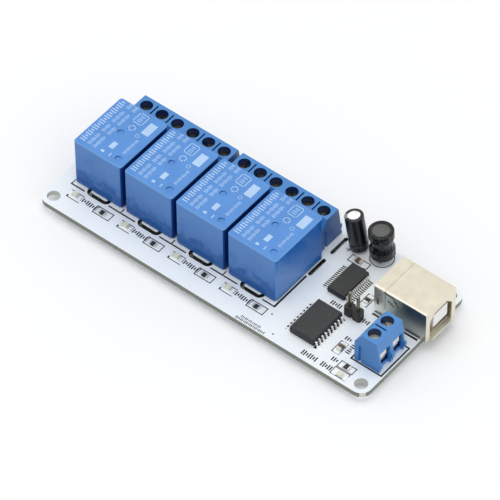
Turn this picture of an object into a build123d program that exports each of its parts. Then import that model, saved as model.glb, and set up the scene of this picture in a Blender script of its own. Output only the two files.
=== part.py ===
from build123d import *
from math import cos, radians, sin
import os

# Relay module board, in millimetres.
# The origin is the middle of the four mounting holes, on the board's underside.
# +X runs along the board to the data socket, +Y to the row of wire terminals, +Z up.

os.makedirs("parts", exist_ok=True)

# Board
board_length = 104.4
board_width = 42.0
board_thickness = 1.6
board_corner_radius = 3.0
mounting_inset = 3.0
mounting_hole_radius = 1.75
tail_length = 1.9
tail_clearance = 0.15
slot_width = 1.1
control_room = 31.0

# Relays, as many as fit on the board beside the room that the control section needs
relay_margin = 3.88
relay_gap = 1.06
relay_row_y = -1.23
relay_width = 15.5
relay_length = 19.0
relay_case_height = 15.0
relay_standoff = 0.3
relay_wall = 0.8
relay_side_radius = 0.9
relay_top_radius = 0.5
relay_fit = 0.1
relay_base_thickness = 1.9
relay_dimple_radius = 0.95
relay_dimple_depth = 0.3
relay_vent_inset_x = 2.5
relay_vent_inset_y = 2.3
common_pin_inset = 2.4
coil_pin_setback = 2.0
contact_pin_setback = 14.2
outer_pin_spacing = 12.0
flat_pin_width = 1.0
flat_pin_thickness = 0.5
coil_pin_size = 0.6
common_slot_width = 7.4
common_slot_offset = 0.5
common_slot_reach = 1.1
common_slot_length = 6.4
edge_slot_offset = 8.5
edge_slot_length = 6.7
edge_slot_first = 6.0
edge_slot_spacing = 9.0

# Relay movement
yoke_width = 9.2
yoke_thickness = 1.2
yoke_lift = 0.4
core_radius = 2.0
core_setback = 6.1
pole_radius = 3.0
pole_thickness = 0.6
pole_gap = 0.4
bobbin_flange_thickness = 0.8
bobbin_width = 10.0
bobbin_wall = 0.6
bobbin_lug_width = 1.2
coil_radius = 4.7
armature_width = 8.6
armature_reach = 9.7
armature_thickness = 1.0
hinge_gap = 0.1
leaf_width = 4.0
leaf_thickness = 0.2
button_radius = 0.9
moving_button_height = 0.4
fixed_button_height = 0.35
contact_arm_thickness = 0.3
contact_arm_width = 1.6
contact_rest_gap = 0.03
contact_travel = 0.6

# Screw terminals
terminal_pitch = 5.08
relay_block_ways = 3
relay_block_gap = 1.47
terminal_row_margin = 5.16
terminal_row_y = 13.50
power_block_ways = 2
power_block_inset = 5.07
power_block_y = -7.71
block_height = 10.2
block_rear = 4.1
block_front = 3.5
block_top_rear = 2.0
block_top_front = 2.6
block_shoulder_height = 6.8
block_belly = 0.15
block_belly_height = 1.6
block_crown = 0.2
chamber_width = 3.9
chamber_floor = 1.2
chamber_top = 6.4
chamber_rear = 2.1
mouth_depth = 0.75
cut_reach = 1.0
parting_slot_width = 0.4
parting_slot_length = 3.4
parting_slot_depth = 2.0
key_setback = 2.45
key_width = 0.6
key_height = 6.0
key_reach = 0.4
key_clearance = 0.06
foot_width = 1.0
foot_reach = 0.75
foot_height = 3.9
foot_waist = 0.1
foot_root = 0.5
relay_block_heel = 0.75
power_block_heel = 0.0

# Clamp frames and terminal screws
clamp_fit = 0.1
clamp_wall = 0.4
clamp_top_thickness = 1.2
clamp_front = 1.9
clamp_pin_size = 0.9
guard_thickness = 0.25
guard_front = 2.55
guard_drop = 2.7
guard_bend_radius = 0.35
screw_hole_radius = 1.7
screw_head_clearance = 0.1
screw_head_height = 1.6
screw_head_radius = 1.6
screw_radius = 1.25
screw_thread_clearance = 0.05
screw_length = 3.9
screw_slot_width = 0.5
screw_slot_depth = 0.7
screw_slot_turn = 67.0

# Data socket
socket_length = 16.0
socket_width = 12.1
socket_height = 10.3
socket_overhang = 1.45
socket_row_y = 8.02
socket_sheet = 0.4
socket_edge_radius = 0.5
socket_mouth_width = 8.9
socket_mouth_height = 7.9
socket_mouth_chamfer = 2.1
socket_floor_start = 6.5
socket_seam_setback = 3.4
socket_seam_width = 0.25
socket_seam_depth = 0.15
socket_fold_length = 6.9
socket_tab_width = 2.2
socket_tab_setback = 7.4
socket_tab_hole_radius = 1.25
socket_mouth_bottom = 0.3
socket_lip_reach = 0.8
socket_slit_width = 0.3
socket_latch_slit = [(3.4, 9.6), (5.7, 9.4), (7.3, 7.35)]
socket_barb_slit = [(4.5, 7.2), (5.8, 6.6)]
socket_rear_slit = [(1.15, 4.1), (1.15, 5.6)]
insulator_fit = 0.15
insulator_block_length = 5.8
tongue_width = 5.6
tongue_height = 4.2
tongue_middle = 5.1
tongue_setback = 0.15
blade_spacing = 2.5
blade_width = 0.9
blade_thickness = 0.3
blade_clearance = 0.08
blade_bend_radius = 0.5
blade_tip_setback = 1.2
upper_blade_pin_setback = 1.6
lower_blade_pin_setback = 3.8

# Electrolytic capacitor: in the control section, offsets in x are from where it starts
capacitor_offset_x = 5.04
capacitor_y = 16.45
capacitor_lift = 0.40
capacitor_radius = 2.5
capacitor_length = 11.05
capacitor_lean = 9.3
capacitor_lean_direction = 187.0
sleeve_thickness = 0.12
sleeve_clearance = 0.02
sleeve_lip = 0.85
can_bead_height = 1.9
can_bead_depth = 0.22
can_bead_radius = 0.45
can_edge_radius = 0.35
vent_groove_width = 0.3
vent_groove_depth = 0.12
vent_groove_length = 3.2
radial_lead_radius = 0.25
capacitor_lead_spacing = 2.0

# Drum inductor
inductor_offset_x = 11.72
inductor_y = 17.27
inductor_lift = 1.90
inductor_lean = 4.0
inductor_lean_direction = 196.0
drum_radius = 3.1
drum_height = 8.6
drum_flange = 1.3
drum_waist_radius = 1.4
winding_radius = 2.6
winding_clearance = 0.05
shrink_thickness = 0.2
shrink_clearance = 0.03
shrink_lip = 0.98
shrink_edge_radius = 0.35
shrink_pinch = 0.45
shrink_pinch_radius = 4.7
inductor_lead_spacing = 3.0

# Packaged chips
driver_offset_x = 12.32
driver_y = -10.33
driver_length = 11.6
driver_width = 7.5
driver_height = 2.3
driver_leads_per_side = 9
driver_lead_pitch = 1.27
driver_lead_width = 0.41
driver_lead_thickness = 0.25
driver_lead_span = 10.3
driver_foot = 0.75
driver_lead_bend = 0.25
interface_offset_x = 10.27
interface_y = 5.17
interface_length = 10.2
interface_width = 5.3
interface_height = 1.75
interface_leads_per_side = 14
interface_lead_pitch = 0.65
interface_lead_width = 0.30
interface_lead_thickness = 0.18
interface_lead_span = 7.8
interface_foot = 0.6
interface_lead_bend = 0.2
chip_standoff = 0.12
chip_taper = 7.0
lead_seat = 0.01
index_radius = 0.45
index_depth = 0.1
index_inset = 1.1

# Jumper header
header_offset_x = 17.72
header_y = -2.08
header_pitch = 2.54
header_ways = 2
header_depth = 2.4
header_height = 3.0
header_chamfer = 0.45
header_pin_size = 0.64
header_pin_height = 8.2
header_pin_point = 0.35
header_pin_clearance = 0.03

# Small surface parts
chip_part_length = 2.0
chip_part_width = 1.25
resistor_height = 0.5
ceramic_height = 1.0
termination_length = 0.4
termination_thickness = 0.04
led_base_height = 0.35
led_lens_length = 1.3
led_lens_height = 0.5
led_offset_x = -4.45
led_row_y = -14.45
resistor_offset_x = 4.9
resistor_row_y = -14.85
power_led_inset_x = 8.62
power_led_inset_y = 1.91
power_resistor_inset_x = 8.86
power_resistor_inset_y = 4.79
supply_ceramic_share = 0.4655
supply_ceramic_y = -12.20
chip_ceramic_setback = 2.48
chip_ceramic_y = 12.60
side_resistor_share = 0.471
side_resistor_y = 3.91

# Places that follow from the sizes above
board_top = board_thickness
board_end = board_length / 2
board_front = -board_width / 2
tail_end = -tail_length
mounting_spacing_x = board_length - 2 * mounting_inset
mounting_spacing_y = board_width - 2 * mounting_inset
relay_pitch = relay_width + relay_gap
relay_room = board_length - relay_margin - control_room
relay_count = int((relay_room + relay_gap) / relay_pitch)
relay_row_x = relay_margin + relay_width / 2 - board_end
relay_row_end = relay_margin + relay_count * relay_pitch - relay_gap - board_end
relay_centres = [(relay_row_x + n * relay_pitch, relay_row_y) for n in range(relay_count)]
common_pin_y = common_pin_inset - relay_length / 2
coil_pin_y = common_pin_y + coil_pin_setback
contact_pin_y = common_pin_y + contact_pin_setback
outer_pin_x = outer_pin_spacing / 2
flat_pin_points = [(0, common_pin_y), (-outer_pin_x, contact_pin_y), (outer_pin_x, contact_pin_y)]
coil_pin_points = [(-outer_pin_x, coil_pin_y), (outer_pin_x, coil_pin_y)]
relay_base_bottom = board_top + relay_standoff
relay_base_top = relay_base_bottom + relay_base_thickness
relay_ceiling = relay_base_bottom + relay_case_height - relay_wall

relay_block_length = relay_block_ways * terminal_pitch


def relay_block_middle(n):
    """Middle of the n-th three-way block, one to a relay: they stand in abutting pairs."""
    start = terminal_row_margin - board_end
    return start + (n + 0.5) * relay_block_length + (n // 2) * relay_block_gap


def way_offsets(ways):
    """Distances of the screws from the middle of a terminal block."""
    return [(i - (ways - 1) / 2) * terminal_pitch for i in range(ways)]


relay_rows = [
    Plane((relay_block_middle(n), terminal_row_y, board_top), x_dir=(1, 0, 0), z_dir=(0, 0, 1))
    for n in range(relay_count)
]
power_block_x = board_end - power_block_inset
power_row = Plane((power_block_x, power_block_y, board_top), x_dir=(0, -1, 0), z_dir=(0, 0, 1))
terminal_rows = [(row, relay_block_ways) for row in relay_rows] + [(power_row, power_block_ways)]

# The control section starts where the relays and their terminals end
terminal_row_end = relay_block_middle(relay_count - 1) + relay_block_length / 2
control_start = max(relay_row_end, terminal_row_end)
capacitor_x = control_start + capacitor_offset_x
inductor_x = control_start + inductor_offset_x
driver_x = control_start + driver_offset_x
interface_x = control_start + interface_offset_x
header_x = control_start + header_offset_x

socket_back = board_end + socket_overhang - socket_length
socket_front = socket_back + socket_length
blade_pins = [
    (socket_back + setback, socket_row_y + side * blade_spacing / 2)
    for setback in (upper_blade_pin_setback, lower_blade_pin_setback)
    for side in (-1, 1)
]
tab_points = [
    (socket_back + socket_tab_setback, socket_row_y + side * (socket_width - socket_sheet) / 2)
    for side in (-1, 1)
]
header_points = [
    (header_x + (i - (header_ways - 1) / 2) * header_pitch, header_y) for i in range(header_ways)
]
driver_tips = driver_x + driver_lead_span / 2
interface_tips = interface_x + interface_lead_span / 2
power_block_back = power_block_x - block_rear
supply_ceramic_x = driver_tips + supply_ceramic_share * (power_block_back - driver_tips)
side_resistor_x = interface_tips + side_resistor_share * (socket_back - interface_tips)
chip_ceramic_x = interface_x - chip_ceramic_setback
power_led_x = board_end - power_led_inset_x
power_led_y = board_front + power_led_inset_y
power_resistor_x = board_end - power_resistor_inset_x
power_resistor_y = board_front + power_resistor_inset_y


def leaning_plane(x, y, lift, lean, direction):
    """Base plane of a part that leans by an angle towards a direction in plan."""
    tilt = radians(lean)
    turn = radians(direction)
    axis = (sin(tilt) * cos(turn), sin(tilt) * sin(turn), cos(tilt))
    across = (-sin(turn), cos(turn), 0)
    return Plane((x, y, board_top + lift), x_dir=across, z_dir=axis)


capacitor_plane = leaning_plane(
    capacitor_x, capacitor_y, capacitor_lift, capacitor_lean, capacitor_lean_direction
)
inductor_plane = leaning_plane(
    inductor_x, inductor_y, inductor_lift, inductor_lean, inductor_lean_direction
)


def lead_points(plane, spacing):
    """Board positions of a pair of radial leads below a leaning part."""
    points = [plane.from_local_coords(Vector(side * spacing / 2, 0, 0)) for side in (-1, 1)]
    return [(point.X, point.Y) for point in points]


def finish(piece, name):
    """Label a finished piece and write its file."""
    piece.part.label = name
    export_step(piece.part, f"parts/{name}.step")


# Circuit board
with BuildSketch() as common_slot:
    arm = (common_slot_width - slot_width) / 2
    front = -relay_length / 2 - common_slot_reach
    with BuildLine():
        FilletPolyline(
            (-arm, front + common_slot_length),
            (-arm, front),
            (arm, front),
            (arm, front + common_slot_length),
            radius=slot_width,
        )
    trace(line_width=slot_width)
    with Locations((-arm, front + common_slot_length), (arm, front + common_slot_length)):
        Circle(slot_width / 2)

with BuildPart() as circuit_board:
    with BuildSketch():
        RectangleRounded(board_length, board_width, board_corner_radius)
        with GridLocations(mounting_spacing_x, mounting_spacing_y, 2, 2):
            Circle(mounting_hole_radius, mode=Mode.SUBTRACT)
        for centre in relay_centres:
            with Locations(centre):
                with Locations((common_slot_offset, 0)):
                    add(common_slot.sketch, mode=Mode.SUBTRACT)
                with Locations(*flat_pin_points):
                    Circle(flat_pin_width / 2 + tail_clearance, mode=Mode.SUBTRACT)
                with Locations(*coil_pin_points):
                    Circle(coil_pin_size / 2 + 2 * tail_clearance, mode=Mode.SUBTRACT)
        with Locations(relay_centres[-1]):
            for row_y in (edge_slot_first, edge_slot_first + edge_slot_spacing):
                with Locations((edge_slot_offset, row_y)):
                    SlotOverall(edge_slot_length, slot_width, rotation=90, mode=Mode.SUBTRACT)
        for row, ways in terminal_rows:
            for offset_x in way_offsets(ways):
                pin = row.from_local_coords(Vector(offset_x, 0, 0))
                with Locations((pin.X, pin.Y)):
                    Circle(clamp_pin_size / 2 + 2 * tail_clearance, mode=Mode.SUBTRACT)
        with Locations(*blade_pins):
            Circle(blade_width / 2 + tail_clearance, mode=Mode.SUBTRACT)
        with Locations(*tab_points):
            Circle(socket_tab_hole_radius, mode=Mode.SUBTRACT)
        with Locations(*header_points):
            Circle(header_pin_size / 2 + 2 * tail_clearance, mode=Mode.SUBTRACT)
        with Locations(
            *lead_points(capacitor_plane, capacitor_lead_spacing),
            *lead_points(inductor_plane, inductor_lead_spacing),
        ):
            Circle(radial_lead_radius + tail_clearance, mode=Mode.SUBTRACT)
    extrude(amount=board_thickness)
finish(circuit_board, "circuit_board")


# Relays, each drawn about its own centre with heights from the board's underside
case_bottom = relay_base_bottom
pin_seat = relay_base_top + yoke_lift
foot_top = pin_seat + yoke_thickness
nc_arm_bottom = relay_ceiling - relay_fit - contact_arm_thickness
nc_button_bottom = nc_arm_bottom - fixed_button_height
leaf_top = nc_button_bottom - contact_rest_gap - moving_button_height
armature_top = leaf_top - leaf_thickness
armature_bottom = armature_top - armature_thickness
yoke_top = armature_bottom - hinge_gap
pole_top = armature_bottom - pole_gap
pole_bottom = pole_top - pole_thickness
no_button_top = armature_top - moving_button_height - contact_travel
no_arm_top = no_button_top - fixed_button_height
bobbin_bottom = foot_top + relay_fit
bobbin_top = pole_bottom - relay_fit / 2
core_y = common_pin_y + core_setback
yoke_rear = common_pin_y - yoke_thickness / 2
button_y = contact_pin_y
armature_rear = yoke_rear


def relay_case(centre):
    """Translucent cover, open below, with a gate mark and a vent dimple on top."""
    with BuildPart() as case:
        with BuildSketch(Plane((*centre, case_bottom))):
            Rectangle(relay_width, relay_length)
        extrude(amount=relay_case_height)
        fillet(case.edges().filter_by(Axis.Z), radius=relay_side_radius)
        fillet(case.faces().sort_by(Axis.Z)[-1].edges(), radius=relay_top_radius)
        offset(amount=-relay_wall, openings=case.faces().sort_by(Axis.Z)[0])
        vent = (
            centre[0] + relay_width / 2 - relay_vent_inset_x,
            centre[1] - relay_length / 2 + relay_vent_inset_y,
        )
        with BuildSketch(Plane.XY.offset(case_bottom + relay_case_height)):
            with Locations(centre, vent):
                Circle(relay_dimple_radius)
        extrude(amount=-relay_dimple_depth, mode=Mode.SUBTRACT)
    return case


def relay_armature(centre):
    """Iron plate on the yoke's edge, with its contact leaf and the moving button."""
    x, y = centre
    with BuildPart() as armature:
        with BuildSketch(Plane((x, y, armature_bottom))):
            with Locations((0, armature_rear)):
                Rectangle(armature_width, armature_reach, align=(Align.CENTER, Align.MIN))
        extrude(amount=armature_thickness)
        with BuildSketch(Plane((x, y, armature_top))):
            with Locations((0, armature_rear)):
                leaf_reach = button_y + button_radius - armature_rear
                Rectangle(leaf_width, leaf_reach, align=(Align.CENTER, Align.MIN))
        extrude(amount=leaf_thickness)
        with BuildSketch(Plane((x, y, armature_top - moving_button_height))):
            with Locations((0, button_y)):
                Circle(button_radius)
        extrude(amount=2 * moving_button_height + leaf_thickness)
    return armature


for number, centre in enumerate(relay_centres, start=1):
    finish(relay_case(centre), f"relay_case_{number}")
    finish(relay_armature(centre), f"relay_armature_{number}")

with BuildPart() as relay_bases:
    inner_width = relay_width - 2 * relay_wall - 2 * relay_fit
    inner_length = relay_length - 2 * relay_wall - 2 * relay_fit
    with BuildSketch(Plane.XY.offset(relay_base_bottom)):
        for centre in relay_centres:
            with Locations(centre):
                Rectangle(inner_width, inner_length)
                with Locations(*flat_pin_points):
                    Rectangle(
                        flat_pin_width + relay_fit, flat_pin_thickness + relay_fit, mode=Mode.SUBTRACT
                    )
                with Locations(*coil_pin_points):
                    side = coil_pin_size + relay_fit
                    Rectangle(side, side, mode=Mode.SUBTRACT)
    extrude(amount=relay_base_thickness)
finish(relay_bases, "relay_bases")

with BuildPart() as relay_yokes:
    yoke_front = core_y + pole_radius
    with BuildSketch(Plane.XY.offset(pin_seat)):
        for x, y in relay_centres:
            with Locations((x, y + yoke_rear)):
                Rectangle(yoke_width, yoke_front - yoke_rear, align=(Align.CENTER, Align.MIN))
    extrude(amount=yoke_thickness)
    with BuildSketch(Plane.XY.offset(foot_top)):
        for x, y in relay_centres:
            with Locations((x, y + yoke_rear)):
                Rectangle(yoke_width, yoke_thickness, align=(Align.CENTER, Align.MIN))
    extrude(amount=yoke_top - foot_top)
    with BuildSketch(Plane.XY.offset(foot_top)):
        with Locations(*[(x, y + core_y) for x, y in relay_centres]):
            Circle(core_radius)
    extrude(amount=pole_bottom - foot_top)
    with BuildSketch(Plane.XY.offset(pole_bottom)):
        with Locations(*[(x, y + core_y) for x, y in relay_centres]):
            Circle(pole_radius)
    extrude(amount=pole_thickness)
finish(relay_yokes, "relay_yokes")

bobbin_bore = core_radius + relay_fit
with BuildPart() as relay_bobbins:
    for flange_bottom in (bobbin_bottom, bobbin_top - bobbin_flange_thickness):
        with BuildSketch(Plane.XY.offset(flange_bottom)):
            for x, y in relay_centres:
                with Locations((x, y + core_y)):
                    Rectangle(bobbin_width, bobbin_width)
                if flange_bottom == bobbin_bottom:
                    with Locations((x, y + coil_pin_y)):
                        Rectangle(outer_pin_spacing + bobbin_lug_width, bobbin_lug_width)
                with Locations((x, y + core_y)):
                    Circle(bobbin_bore, mode=Mode.SUBTRACT)
        extrude(amount=bobbin_flange_thickness)
    with BuildSketch(Plane.XY.offset(bobbin_bottom)):
        with Locations(*[(x, y + core_y) for x, y in relay_centres]):
            Circle(bobbin_bore + bobbin_wall)
            Circle(bobbin_bore, mode=Mode.SUBTRACT)
    extrude(amount=bobbin_top - bobbin_bottom)
finish(relay_bobbins, "relay_bobbins")

coil_gap = relay_fit / 2
coil_bottom = bobbin_bottom + bobbin_flange_thickness + coil_gap
coil_top = bobbin_top - bobbin_flange_thickness - coil_gap
with BuildPart() as relay_coils:
    with BuildSketch(Plane.XY.offset(coil_bottom)):
        with Locations(*[(x, y + core_y) for x, y in relay_centres]):
            Circle(coil_radius)
            Circle(bobbin_bore + bobbin_wall + coil_gap, mode=Mode.SUBTRACT)
    extrude(amount=coil_top - coil_bottom)
finish(relay_coils, "relay_coils")

no_arm_bottom = no_arm_top - contact_arm_thickness
contact_arms = [
    (-1, nc_arm_bottom, nc_button_bottom),
    (1, no_arm_bottom, no_arm_top),
]
with BuildPart() as contact_set:
    for side, arm_bottom, button_bottom in contact_arms:
        with BuildSketch(Plane.XY.offset(tail_end)):
            with Locations((side * outer_pin_x, contact_pin_y)):
                Rectangle(flat_pin_width, flat_pin_thickness)
        extrude(amount=relay_base_top - tail_end)
        with BuildSketch(Plane.XY.offset(relay_base_top)):
            with Locations((side * outer_pin_x, contact_pin_y)):
                Rectangle(flat_pin_thickness, contact_arm_width)
        extrude(amount=arm_bottom + contact_arm_thickness - relay_base_top)
        with BuildSketch(Plane.XY.offset(arm_bottom)):
            arm_start = outer_pin_x + flat_pin_thickness / 2
            with Locations((side * (arm_start - button_radius) / 2, contact_pin_y)):
                Rectangle(arm_start + button_radius, contact_arm_width)
        extrude(amount=contact_arm_thickness)
        with BuildSketch(Plane.XY.offset(button_bottom)):
            with Locations((0, button_y)):
                Circle(button_radius)
        extrude(amount=fixed_button_height)
    with BuildSketch(Plane.XY.offset(tail_end)):
        with Locations((0, common_pin_y)):
            Rectangle(flat_pin_width, flat_pin_thickness)
    extrude(amount=pin_seat - tail_end)
    with BuildSketch(Plane.XY.offset(tail_end)):
        with Locations(*coil_pin_points):
            Rectangle(coil_pin_size, coil_pin_size)
    extrude(amount=bobbin_bottom - tail_end)

with BuildPart() as relay_contacts:
    with Locations(*relay_centres):
        add(contact_set.part)
finish(relay_contacts, "relay_contacts")


# Screw terminals, each drawn in the plane of its row: x along the row, y to the wire side
def across(row, distance=0):
    """Cross-section plane at a distance along the row: wire direction across, height up."""
    origin = row.from_local_coords(Vector(distance, 0, 0))
    return Plane(origin, x_dir=row.y_dir, z_dir=row.x_dir)


def facing(row, distance):
    """Plane that looks at a block from its wire side, at a distance in front of the screws."""
    origin = row.from_local_coords(Vector(0, distance, 0))
    return Plane(origin, x_dir=row.x_dir, z_dir=-row.y_dir)


def terminal_housing(row, ways, heel):
    """Moulded block with screw wells, wire mouths, end keys and ribs that end in a heel."""
    length = ways * terminal_pitch
    offsets = way_offsets(ways)
    belly = block_front + block_belly
    cut_start = block_front + foot_reach + cut_reach
    with BuildPart() as housing:
        with BuildSketch(across(row)):
            with BuildLine():
                Polyline(
                    (-block_rear, 0),
                    (block_front, 0),
                    (belly, block_belly_height),
                )
                Spline(
                    (belly, block_belly_height),
                    (
                        (belly + block_top_front) / 2 + block_crown,
                        (block_belly_height + block_height) / 2,
                    ),
                    (block_top_front, block_height),
                )
                Polyline(
                    (block_top_front, block_height),
                    (-block_top_rear, block_height),
                    (-block_rear, block_shoulder_height),
                    (-block_rear, 0),
                )
            make_face()
        extrude(amount=length / 2, both=True)
        # Ribs on the walls between the mouths, with a bulge over the heel
        walls = [(i - ways / 2) * terminal_pitch for i in range(ways + 1)]
        for i, wall in enumerate(walls):
            inward = foot_width / 2 * (1 if i == 0 else -1 if i == ways else 0)
            with BuildSketch(across(row, wall + inward)):
                with BuildLine():
                    Polyline(
                        (block_front - foot_root, 0),
                        (block_front + heel, 0),
                        (block_front + heel, 0.2 * foot_height),
                        (block_front + foot_waist, 0.32 * foot_height),
                        (block_front + foot_reach, 0.55 * foot_height),
                        (block_front + foot_reach, 0.85 * foot_height),
                        (block_front - foot_root, foot_height),
                        close=True,
                    )
                make_face()
            extrude(amount=foot_width / 2, both=True)
        # Screw wells and the parting slots between them
        with BuildSketch(row.offset(block_height)):
            with Locations(*[(x, 0) for x in offsets]):
                Circle(screw_hole_radius)
        extrude(amount=-(block_height - chamber_top), mode=Mode.SUBTRACT)
        with BuildSketch(row.offset(block_height)):
            with Locations(*[(wall, 0) for wall in walls[1:-1]]):
                Rectangle(parting_slot_width, parting_slot_length)
        extrude(amount=-parting_slot_depth, mode=Mode.SUBTRACT)
        # Clamp chambers behind the mouths, whose sill stands back between the ribs
        chamber_front = block_front - mouth_depth
        with BuildSketch(row.offset(chamber_floor)):
            with Locations(*[(x, -chamber_rear) for x in offsets]):
                Rectangle(
                    chamber_width, chamber_rear + chamber_front, align=(Align.CENTER, Align.MIN)
                )
        extrude(amount=chamber_top - chamber_floor, mode=Mode.SUBTRACT)
        with BuildSketch(facing(row, cut_start)):
            with Locations(*[(x, 0) for x in offsets]):
                Rectangle(chamber_width, chamber_top, align=(Align.CENTER, Align.MIN))
        extrude(amount=cut_start - chamber_front, mode=Mode.SUBTRACT)
        with BuildSketch(row):
            with Locations(*[(x, 0) for x in offsets]):
                side = clamp_pin_size + 2 * clamp_fit
                Rectangle(side, side)
        extrude(amount=chamber_floor, mode=Mode.SUBTRACT)
        # Key on one end, keyway on the other, so that blocks join side by side
        with BuildSketch(row):
            with Locations((length / 2, -key_setback)):
                Rectangle(
                    2 * (key_reach + key_clearance), key_width + 2 * key_clearance
                )
        extrude(amount=key_height + key_clearance, mode=Mode.SUBTRACT)
        with BuildSketch(row):
            with Locations((-length / 2, -key_setback)):
                Rectangle(2 * key_reach, key_width)
        extrude(amount=key_height)
    return housing


clamp_bottom = chamber_floor + clamp_fit
clamp_top = chamber_top - clamp_fit
screw_head_bottom = clamp_top + screw_head_clearance
screw_tip = screw_head_bottom - screw_length


def clamp_frames(row, ways):
    """Plated clamp frames with their solder pins and the bent guards below the screws."""
    clamp_width = chamber_width - 2 * clamp_fit
    clamp_rear = chamber_rear - clamp_fit
    guard_level = screw_tip - guard_thickness - screw_head_clearance
    guard_width = clamp_width - 2 * clamp_wall - 2 * clamp_fit
    guard_start = clamp_front - clamp_wall
    guard_top = clamp_top - guard_thickness
    with BuildPart() as frames:
        with BuildSketch(row.offset(clamp_bottom)):
            with Locations(*[(x, -clamp_rear) for x in way_offsets(ways)]):
                Rectangle(clamp_width, clamp_rear + clamp_front, align=(Align.CENTER, Align.MIN))
        extrude(amount=clamp_top - clamp_bottom)
        inside_top = clamp_top - clamp_top_thickness
        inside_middle = (clamp_bottom + clamp_wall + inside_top) / 2
        with BuildSketch(facing(row, clamp_front)):
            with Locations(*[(x, inside_middle) for x in way_offsets(ways)]):
                Rectangle(clamp_width - 2 * clamp_wall, inside_top - clamp_bottom - clamp_wall)
        extrude(amount=clamp_rear + clamp_front, mode=Mode.SUBTRACT)
        with BuildSketch(row.offset(clamp_top)):
            with Locations(*[(x, 0) for x in way_offsets(ways)]):
                Circle(screw_radius + screw_thread_clearance)
        extrude(amount=-clamp_top_thickness, mode=Mode.SUBTRACT)
        with BuildSketch(row.offset(clamp_bottom)):
            with Locations(*[(x, 0) for x in way_offsets(ways)]):
                Rectangle(clamp_pin_size, clamp_pin_size)
        extrude(amount=-(clamp_bottom + board_top - tail_end))
        for x in way_offsets(ways):
            with BuildSketch(across(row, x)):
                with BuildLine():
                    FilletPolyline(
                        (guard_start, guard_top),
                        (guard_front, guard_top),
                        (guard_front, clamp_top - guard_drop),
                        (screw_radius, guard_level),
                        (-screw_radius, guard_level),
                        radius=guard_bend_radius,
                    )
                trace(line_width=guard_thickness)
            extrude(amount=guard_width / 2, both=True)
    return frames


def terminal_screw(row, offset_x, turn):
    """Slotted clamp screw in its well."""
    with BuildPart() as screw:
        base = row.offset(screw_head_bottom)
        with BuildSketch(base):
            with Locations((offset_x, 0)):
                Circle(screw_radius)
        extrude(amount=-screw_length)
        with BuildSketch(base):
            with Locations((offset_x, 0)):
                Circle(screw_head_radius)
        extrude(amount=screw_head_height)
        with BuildSketch(base.offset(screw_head_height)):
            with Locations((offset_x, 0)):
                Rectangle(2.2 * screw_head_radius, screw_slot_width, rotation=turn)
        extrude(amount=-screw_slot_depth, mode=Mode.SUBTRACT)
    return screw


screw_number = 0
for number, row in enumerate(relay_rows, start=1):
    housing = terminal_housing(row, relay_block_ways, relay_block_heel)
    finish(housing, f"terminal_block_{number}")
    finish(clamp_frames(row, relay_block_ways), f"terminal_clamps_{number}")
    for offset_x in way_offsets(relay_block_ways):
        screw_number += 1
        screw = terminal_screw(row, offset_x, screw_number * screw_slot_turn)
        finish(screw, f"terminal_screw_{screw_number:02d}")

power_housing = terminal_housing(power_row, power_block_ways, power_block_heel)
finish(power_housing, "power_terminal_block")
finish(clamp_frames(power_row, power_block_ways), "power_terminal_clamps")
for number, offset_x in enumerate(way_offsets(power_block_ways), start=1):
    screw = terminal_screw(power_row, offset_x, number * screw_slot_turn)
    finish(screw, f"power_terminal_screw_{number}")


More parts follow.
